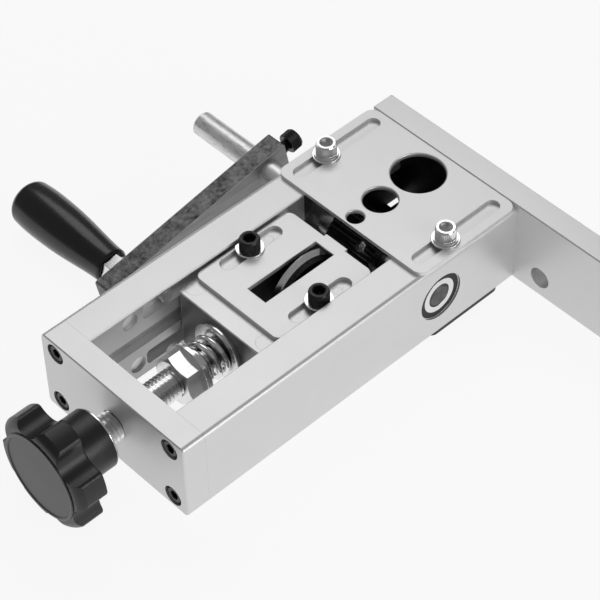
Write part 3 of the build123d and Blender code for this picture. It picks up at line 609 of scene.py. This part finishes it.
arm_slope = math.radians(10.6)
crank_x = -59.4 * MM
stand = 16.25 * MM
screw = socket_screw(6 * MM, 1 * MM, 10.25 * MM, 6 * MM, 5 * MM, 5 * MM)
away = Matrix.Rotation(math.radians(90) - arm_slope, 4, "Y")
head_place = (crank_x + stand * math.cos(arm_slope), arm_middle, stand * math.sin(arm_slope))
screws_at("arm_clamp_screw", screw, [Matrix.Translation(head_place) @ away])
print("cap screws: 9")

# %% [markdown]
# The pressure screw is a length of M14 threaded bar. Its far end is turned down to a neck, where two
# pins hold it in the carriage, and keeps a plain tip.

# %% Pressure screw
screw_low, screw_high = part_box("pressure_screw")
screw_z = (screw_low.z + screw_high.z) / 2
neck_start = -140 * MM
along_x = Matrix.Rotation(math.radians(90), 4, "Y")
thread = threaded(7 * MM, 2 * MM, neck_start - screw_low.x, steps=48)
tip_length = screw_high.x - neck_start
tip = turned(
    [
        (0, 0),
        (5 * MM, 0),
        (5 * MM, tip_length - 3.4 * MM),
        (5.4 * MM, tip_length - 3 * MM),
        (6.7 * MM, tip_length - 3 * MM),
        (7 * MM, tip_length - 2.7 * MM),
        (7 * MM, tip_length - 0.8 * MM),
        (6.2 * MM, tip_length),
        (0, tip_length),
    ]
)
mesh = bmesh.new()
joined(mesh, thread, Matrix.Translation((neck_start, 0, screw_z)) @ along_x)
joined(mesh, tip, Matrix.Translation((neck_start, 0, screw_z)) @ along_x)
piece = finished(mesh, "pressure_screw_thread", "pressure_screw", smooth=False)
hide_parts("pressure_screw")
print("pressure screw:", len(piece.data.polygons), "faces")

# %% [markdown]
# The spring is wound from round wire. Its end coils lie close together and are ground flat, so that
# it stands square on its washers. A circle is spun three times: slowly rising for the first end coil,
# faster for the working coils and slowly again for the last one.

# %% Pressure spring
spring_low, spring_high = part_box("pressure_spring")
spring_length = spring_high.x - spring_low.x
wire = 2.8 * MM
coil_radius = 8.9 * MM
end_turns = 0.75
work_turns = 1.6
end_rise = wire * 1.02 * end_turns
work_rise = spring_length - 0.45 * wire - 2 * end_rise
mesh = bmesh.new()
upright = Matrix.Translation((coil_radius, 0, 0)) @ Matrix.Rotation(math.radians(90), 4, "X")
section = bmesh.ops.create_circle(mesh, segments=20, radius=wire / 2, matrix=upright)["verts"]
leading = section + list({edge for point in section for edge in point.link_edges})
for turns, rise in ((end_turns, end_rise), (work_turns, work_rise), (end_turns, end_rise)):
    steps = round(turns * 48)
    spun = bmesh.ops.spin(
        mesh, geom=leading, axis=(0, 0, 1), dvec=(0, 0, rise / steps), angle=math.tau * turns, steps=steps
    )
    leading = spun["geom_last"]
for height, side in ((-0.22 * wire, -1), (2 * end_rise + work_rise + 0.22 * wire, 1)):
    everything = mesh.verts[:] + mesh.edges[:] + mesh.faces[:]
    bmesh.ops.bisect_plane(
        mesh, geom=everything, plane_co=(0, 0, height), plane_no=(0, 0, side), clear_outer=True
    )
bmesh.ops.holes_fill(mesh, edges=[edge for edge in mesh.edges if edge.is_boundary], sides=0)
bmesh.ops.recalc_face_normals(mesh, faces=mesh.faces)
seat = Matrix.Translation((spring_low.x + 0.22 * wire, 0, screw_z)) @ along_x
bmesh.ops.transform(mesh, matrix=seat, verts=mesh.verts)
spring = finished(mesh, "pressure_spring_wound", "pressure_spring")
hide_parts("pressure_spring")
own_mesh(spring)
print("spring:", round(spring_length / MM, 2), "mm long,", len(spring.data.polygons), "faces")

# %% [markdown]
# The knob's front is closed by a thin disc with a raised rim. It is plain here, a flat satin inlay in
# a pale rim.

# %% Knob cap
cap_low, cap_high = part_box("knob_cap")
cap_radius = (cap_high.y - cap_low.y) / 2
cap_thick = cap_high.x - cap_low.x
facing_front = Matrix.Translation((cap_high.x, 0, screw_z)) @ facing_knob
rim = turned(
    [
        (cap_radius - 1.5 * MM, 0),
        (cap_radius, 0),
        (cap_radius, cap_thick - 0.35 * MM),
        (cap_radius - 0.12 * MM, cap_thick - 0.1 * MM),
        (cap_radius - 0.4 * MM, cap_thick),
        (cap_radius - 1.1 * MM, cap_thick),
        (cap_radius - 1.35 * MM, cap_thick - 0.15 * MM),
        (cap_radius - 1.5 * MM, cap_thick - 0.35 * MM),
        (cap_radius - 1.5 * MM, 0),
    ],
    steps=96,
)
bmesh.ops.transform(rim, matrix=facing_front, verts=rim.verts)
rim_piece = finished(rim, "knob_cap_rim", "knob_cap", rim_finish)
inlay_radius = cap_radius - 1.55 * MM
inlay = turned([(0, 0), (inlay_radius, 0), (inlay_radius, 0.3 * MM), (0, 0.42 * MM)], steps=96)
bmesh.ops.transform(inlay, matrix=facing_front, verts=inlay.verts)
inlay_piece = finished(inlay, "knob_cap_inlay", "knob_cap", inlay_finish, smooth=False)
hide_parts("knob_cap")
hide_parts("knob_cap")
print("knob cap radius", round(cap_radius / MM, 2), "mm")

# %% [markdown]
# Every machined piece now gets its rounded copy, with a wider rounding on the rough bars and a finer
# one on ground pieces. The solid model's own nodes get the same finishes.

# %% Round the machined parts
edge_width = {
    "end_plate": 0.45,
    "near_rail": 0.45,
    "far_rail": 0.45,
    "mounting_bar": 0.45,
    "lower_cover": 0.2,
    "feed_plate": 0.3,
    "window_plate": 0.3,
    "carriage": 0.25,
    "carriage_plugs": 0.12,
    "crank_arm": 0.35,
    "crank_shaft": 0.15,
    "shaft_collars": 0.3,
    "feed_roller": 0.12,
    "cutter_disc": 0.06,
    "cutter_axle": 0.1,
    "cutter_spacers": 0.1,
    "pressure_nut": 0.35,
    "front_washer": 0.3,
    "rear_washer": 0.3,
    "feed_plate_washers": 0.2,
    "window_plate_washers": 0.2,
    "star_knob": 0.3,
    "knob_washer": 0.2,
    "grip": 0.3,
    "grip_bolt": 0.2,
    "grip_lock_nut": 0.3,
    "slot_pins": 0.2,
    "near_bearing_inner_ring": 0.2,
    "near_bearing_outer_ring": 0.2,
}
for node, width in edge_width.items():
    rounded_copy(node, width * MM)
for node, thing in frame["nodes"].items():
    thing.data.materials.clear()
    thing.data.materials.append(own_finish.get(node) or finish_of[slot_of[node]])
print("rounded copies:", len(edge_width))

# %% [markdown]
# ## Light, floor and camera
# A white sweep and large soft lamps suit bright metal: the metal shows the sweep, and the lamps give
# each rounded edge its line of light.

# %% Floor
floor_mesh = bmesh.new()
bmesh.ops.create_grid(floor_mesh, x_segments=1, y_segments=1, size=4.0)
bmesh.ops.translate(floor_mesh, verts=floor_mesh.verts, vec=(0, 0, cad_box[0].z - 0.2 * MM))
floor_data = bpy.data.meshes.new("floor")
floor_mesh.to_mesh(floor_data)
floor_mesh.free()
floor = bpy.data.objects.new("floor", floor_data)
bpy.context.scene.collection.objects.link(floor)
floor_finish = Finish("floor")
floor_finish.set(Base_Color=grey(0.9), Roughness=0.9)
path = floor_finish.add("ShaderNodeLightPath", {}, {}, "Is Camera Ray")
glossy = Shade(floor_finish, path.socket.node.outputs["Is Glossy Ray"])
through = Shade(floor_finish, path.socket.node.outputs["Is Transmission Ray"])
seen = (path + glossy + through).clamped()
lift = floor_finish.add("ShaderNodeEmission", {}, {"Color": grey(1.0), "Strength": 1.0})
matt = Shade(floor_finish, floor_finish.shader.outputs[0])
blend = floor_finish.add("ShaderNodeMixShader", {}, {"Fac": seen * 0.9, 1: matt, 2: lift})
surface = floor_finish.tree.nodes["Material Output"].inputs["Surface"]
floor_finish.tree.links.new(blend.socket, surface)
floor_data.materials.append(floor_finish.material)

# %% [markdown]
# The room around the machine is one even grey. It is kept rather dark, so that the insides of the
# frame stay dark and the lamps alone draw the bright tops.

# %% World
world = bpy.data.worlds.new("studio")
bpy.context.scene.world = world
bpy.context.scene.view_settings.view_transform = "Standard"
world.use_nodes = True
background = world.node_tree.nodes["Background"]
background.inputs["Color"].default_value = grey(0.24)
background.inputs["Strength"].default_value = 1.0

# %% [markdown]
# A long lens from far off shows the machine with little perspective, as a maker would show it in a
# catalogue. The camera stands on the knob's side and looks down on the crank.

# %% Camera
camera_data = bpy.data.cameras.new("camera")
camera = bpy.data.objects.new("camera", camera_data)
bpy.context.scene.collection.objects.link(camera)
bpy.context.scene.camera = camera
camera_data.sensor_width = 36.0
camera_data.lens = 145.9
camera_data.clip_start = 0.05
camera_data.clip_end = 20.0
camera.location = (-0.59067, -0.53395, 0.77313)
azimuth = math.radians(47.49)
elevation = math.radians(-47.06)
roll = math.radians(-1.41)
level = math.cos(elevation)
forward = Vector((level * math.cos(azimuth), level * math.sin(azimuth), math.sin(elevation)))
level_right = Vector((math.sin(azimuth), -math.cos(azimuth), 0))
level_up = level_right.cross(forward)
right = math.cos(roll) * level_right + math.sin(roll) * level_up
up = -math.sin(roll) * level_right + math.cos(roll) * level_up
turn = Matrix((right, up, -forward)).transposed().to_4x4()
camera.matrix_world = Matrix.Translation(camera.location) @ turn

# %% [markdown]
# Two large soft lamps do the work: one above and behind the crank lights the tops, and one low at the
# side lights the near rail and the knob.


# %% Lamps
def soft_lamp(name, place, target, size, power):
    lamp_data = bpy.data.lights.new(name, "AREA")
    lamp_data.shape = "RECTANGLE"
    lamp_data.size = size[0]
    lamp_data.size_y = size[1]
    lamp_data.energy = power
    lamp = bpy.data.objects.new(name, lamp_data)
    bpy.context.scene.collection.objects.link(lamp)
    lamp.location = place
    lamp.rotation_euler = (Vector(target) - Vector(place)).to_track_quat("-Z", "Y").to_euler()


middle = (cad_box[0] + cad_box[1]) / 2
soft_lamp("key", (0.35, 0.55, 1.1), middle, (0.8, 0.8), 3.2)
soft_lamp("side", (0.12, -1.3, 0.5), middle, (0.9, 0.6), 6.0)
print("camera and lamps set")
